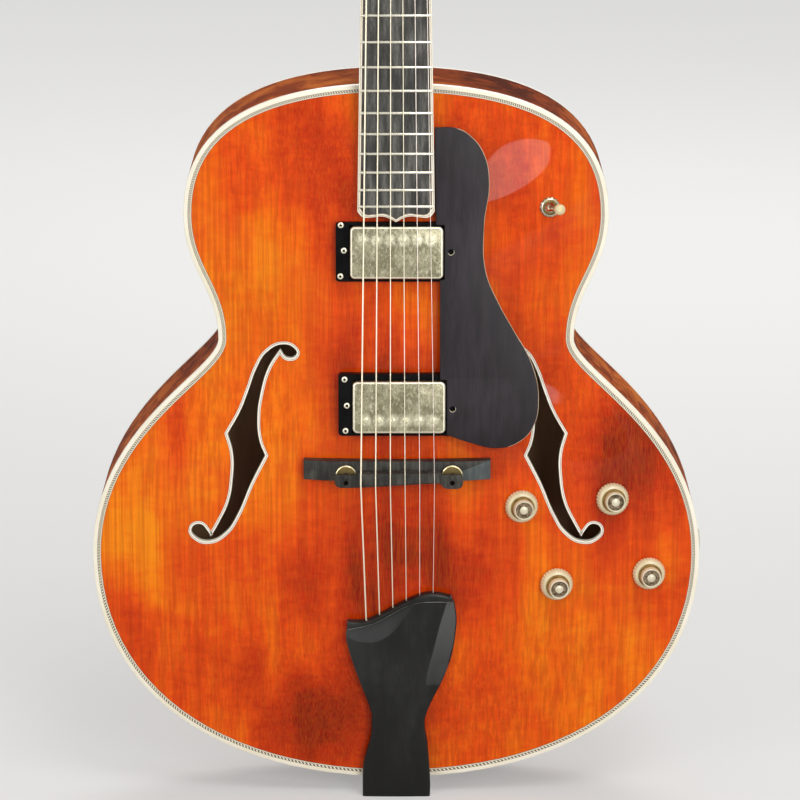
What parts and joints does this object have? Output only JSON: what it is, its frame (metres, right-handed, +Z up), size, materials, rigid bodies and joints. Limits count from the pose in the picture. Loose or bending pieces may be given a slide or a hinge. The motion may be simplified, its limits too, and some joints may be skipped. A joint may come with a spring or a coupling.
{
  "type": "hollow-body electric guitar",
  "caption": "Arched-top hollow-body electric guitar with f-holes, two pickups, floating wooden bridge and tailpiece, and a bound neck with tuning machines.",
  "frame": {"origin": "where the end pin's axis crosses the rim at the tail end of the body, midway between the top and back", "axes": "+Z up the neck along the body's centre line, -Y out of the top (front), +X towards the treble side"},
  "size_m": [0.4586, 0.1487, 1.0823],
  "materials": {
    "spruce_top": "high gloss lacquer, red to orange burst over spruce",
    "maple_body": "high gloss lacquer, dark red-brown",
    "cream_binding": "gloss",
    "spruce_inside": "bare, sanded",
    "mahogany_neck": "gloss lacquer, dark red-brown",
    "ebony": "satin",
    "guard_wood": "satin",
    "bone": "smooth",
    "steel": "plain",
    "nickel": "aged nickel plate",
    "brass": "plain",
    "bronze_string": "wound wire",
    "black_plastic": "satin",
    "cream_plastic": "gloss",
    "pearloid_key": "gloss"
  },
  "bodies": {
    "guitar": {"back_binding": "cream_binding", "back_plate": "maple_body", "bridge_base": "ebony", "end_pin": "bone", "fretboard": "ebony", "fretboard_binding": "cream_binding", "headstock_veneer": "ebony", "neck": "mahogany_neck", "neck_block": "spruce_inside", "nut": "bone", "output_jack": "nickel", "pickguard": "guard_wood", "pickguard_support": "nickel", "pickup_ring_bridge": "black_plastic", "pickup_ring_neck": "black_plastic", "pot_bridge_tone": "steel", "pot_bridge_volume": "steel", "pot_neck_tone": "steel", "pot_neck_volume": "steel", "rim": "maple_body", "string_1": "bronze_string", "string_2": "bronze_string", "string_3": "bronze_string", "string_4": "bronze_string", "string_5": "bronze_string", "string_6": "bronze_string", "switch_body": "nickel", "tail_block": "spruce_inside", "tail_bracket": "nickel", "tailpiece": "ebony", "tone_bar_bass": "spruce_inside", "tone_bar_treble": "spruce_inside", "top_binding": "cream_binding", "top_plate": "spruce_top", "truss_rod": "steel", "truss_rod_cover": "cream_plastic", "tuner_plate_bass": "nickel", "tuner_plate_treble": "nickel"},
    "bridge_saddle": {"bridge_saddle": "ebony"},
    "bridge_wheel_bass": {"bridge_wheel_bass": "brass"},
    "bridge_wheel_treble": {"bridge_wheel_treble": "brass"},
    "switch_lever": {"switch_lever": "cream_plastic"},
    "pickup_neck": {"pickup_neck": "nickel"},
    "pickup_bridge": {"pickup_bridge": "nickel"},
    "knob_neck_volume": {"knob_neck_volume": "cream_plastic"},
    "knob_neck_tone": {"knob_neck_tone": "cream_plastic"},
    "knob_bridge_volume": {"knob_bridge_volume": "cream_plastic"},
    "knob_bridge_tone": {"knob_bridge_tone": "cream_plastic"},
    "tuner_key_bass_1": {"tuner_key_bass_1": "pearloid_key"},
    "tuner_key_bass_2": {"tuner_key_bass_2": "pearloid_key"},
    "tuner_key_bass_3": {"tuner_key_bass_3": "pearloid_key"},
    "tuner_key_treble_1": {"tuner_key_treble_1": "pearloid_key"},
    "tuner_key_treble_2": {"tuner_key_treble_2": "pearloid_key"},
    "tuner_key_treble_3": {"tuner_key_treble_3": "pearloid_key"},
    "tuner_post_bass_1": {"tuner_post_bass_1": "nickel"},
    "tuner_post_bass_2": {"tuner_post_bass_2": "nickel"},
    "tuner_post_bass_3": {"tuner_post_bass_3": "nickel"},
    "tuner_post_treble_1": {"tuner_post_treble_1": "nickel"},
    "tuner_post_treble_2": {"tuner_post_treble_2": "nickel"},
    "tuner_post_treble_3": {"tuner_post_treble_3": "nickel"}
  },
  "joints": [
    {"name": "neck_volume_turn", "type": "hinge", "parent": "guitar", "child": "knob_neck_volume", "pos_m": [0.0931, -0.05696, 0.2188], "axis": [0.1197, -0.9928, 0.0103], "range_deg": [-150, 150]},
    {"name": "neck_tone_turn", "type": "hinge", "parent": "guitar", "child": "knob_neck_tone", "pos_m": [0.1612, -0.04766, 0.2218], "axis": [0.1427, -0.9886, 0.0481], "range_deg": [-150, 150]},
    {"name": "bridge_volume_turn", "type": "hinge", "parent": "guitar", "child": "knob_bridge_volume", "pos_m": [0.1199, -0.05313, 0.1575], "axis": [0.1248, -0.9914, -0.0392], "range_deg": [-150, 150]},
    {"name": "bridge_tone_turn", "type": "hinge", "parent": "guitar", "child": "knob_bridge_tone", "pos_m": [0.1896, -0.04448, 0.1632], "axis": [0.0886, -0.996, -0.0095], "range_deg": [-150, 150]},
    {"name": "pickup_select", "type": "hinge", "parent": "guitar", "child": "switch_lever", "pos_m": [0.11277, -0.04501, 0.44315], "axis": [-0.007, 0.0536, 0.9985], "range_deg": [-34, 0]},
    {"name": "key_bass_1", "type": "hinge", "parent": "guitar", "child": "tuner_key_bass_1", "pos_m": [-0.0245, 0.01729, 0.94351], "axis": [-1, 0, 0], "continuous": true},
    {"name": "key_bass_2", "type": "hinge", "parent": "guitar", "child": "tuner_key_bass_2", "pos_m": [-0.0245, 0.03064, 0.98228], "axis": [-1, 0, 0], "continuous": true},
    {"name": "key_bass_3", "type": "hinge", "parent": "guitar", "child": "tuner_key_bass_3", "pos_m": [-0.0245, 0.04399, 1.02104], "axis": [-1, 0, 0], "continuous": true},
    {"name": "key_treble_1", "type": "hinge", "parent": "guitar", "child": "tuner_key_treble_1", "pos_m": [0.0245, 0.01729, 0.94351], "axis": [1, 0, 0], "continuous": true},
    {"name": "key_treble_2", "type": "hinge", "parent": "guitar", "child": "tuner_key_treble_2", "pos_m": [0.0245, 0.03064, 0.98228], "axis": [1, 0, 0], "continuous": true},
    {"name": "key_treble_3", "type": "hinge", "parent": "guitar", "child": "tuner_key_treble_3", "pos_m": [0.0245, 0.04399, 1.02104], "axis": [1, 0, 0], "continuous": true},
    {"name": "post_bass_1", "type": "hinge", "parent": "guitar", "child": "tuner_post_bass_1", "pos_m": [-0.0245, -0.00279, 0.9408], "axis": [0, -0.9455, 0.3256], "continuous": true},
    {"name": "post_bass_2", "type": "hinge", "parent": "guitar", "child": "tuner_post_bass_2", "pos_m": [-0.0245, 0.01056, 0.97957], "axis": [0, -0.9455, 0.3256], "continuous": true},
    {"name": "post_bass_3", "type": "hinge", "parent": "guitar", "child": "tuner_post_bass_3", "pos_m": [-0.0245, 0.02391, 1.01833], "axis": [0, -0.9455, 0.3256], "continuous": true},
    {"name": "post_treble_1", "type": "hinge", "parent": "guitar", "child": "tuner_post_treble_1", "pos_m": [0.0245, -0.00279, 0.9408], "axis": [0, -0.9455, 0.3256], "continuous": true},
    {"name": "post_treble_2", "type": "hinge", "parent": "guitar", "child": "tuner_post_treble_2", "pos_m": [0.0245, 0.01056, 0.97957], "axis": [0, -0.9455, 0.3256], "continuous": true},
    {"name": "post_treble_3", "type": "hinge", "parent": "guitar", "child": "tuner_post_treble_3", "pos_m": [0.0245, 0.02391, 1.01833], "axis": [0, -0.9455, 0.3256], "continuous": true},
    {"name": "neck_pickup_height", "type": "slide", "parent": "guitar", "child": "pickup_neck", "axis": [0, -0.9962, 0.0872], "range_m": [-0.002, 0.001]},
    {"name": "bridge_pickup_height", "type": "slide", "parent": "guitar", "child": "pickup_bridge", "axis": [0, -0.9962, 0.0872], "range_m": [-0.002, 0.001]},
    {"name": "saddle_height", "type": "slide", "parent": "guitar", "child": "bridge_saddle", "axis": [0, -1, 0], "range_m": [-0.0012, 0.0015], "deforming": ["string_1", "string_2", "string_3", "string_4", "string_5", "string_6"]},
    {"name": "bass_wheel_turn", "type": "hinge", "parent": "bridge_saddle", "child": "bridge_wheel_bass", "pos_m": [-0.037, -0.042, 0.24648], "axis": [0, -1, 0], "range_deg": [-541, 676]},
    {"name": "treble_wheel_turn", "type": "hinge", "parent": "bridge_saddle", "child": "bridge_wheel_treble", "pos_m": [0.0415, -0.042, 0.24648], "axis": [0, -1, 0], "range_deg": [-541, 676]}
  ],
  "couplings": [
    {"joint": "bass_wheel_turn", "follows": "saddle_height", "rad_per_m": 7854},
    {"joint": "treble_wheel_turn", "follows": "saddle_height", "rad_per_m": 7854},
    {"joint": "post_bass_1", "follows": "key_bass_1", "ratio": 0.071429},
    {"joint": "post_bass_2", "follows": "key_bass_2", "ratio": 0.071429},
    {"joint": "post_bass_3", "follows": "key_bass_3", "ratio": 0.071429},
    {"joint": "post_treble_1", "follows": "key_treble_1", "ratio": -0.071429},
    {"joint": "post_treble_2", "follows": "key_treble_2", "ratio": -0.071429},
    {"joint": "post_treble_3", "follows": "key_treble_3", "ratio": -0.071429}
  ]
}
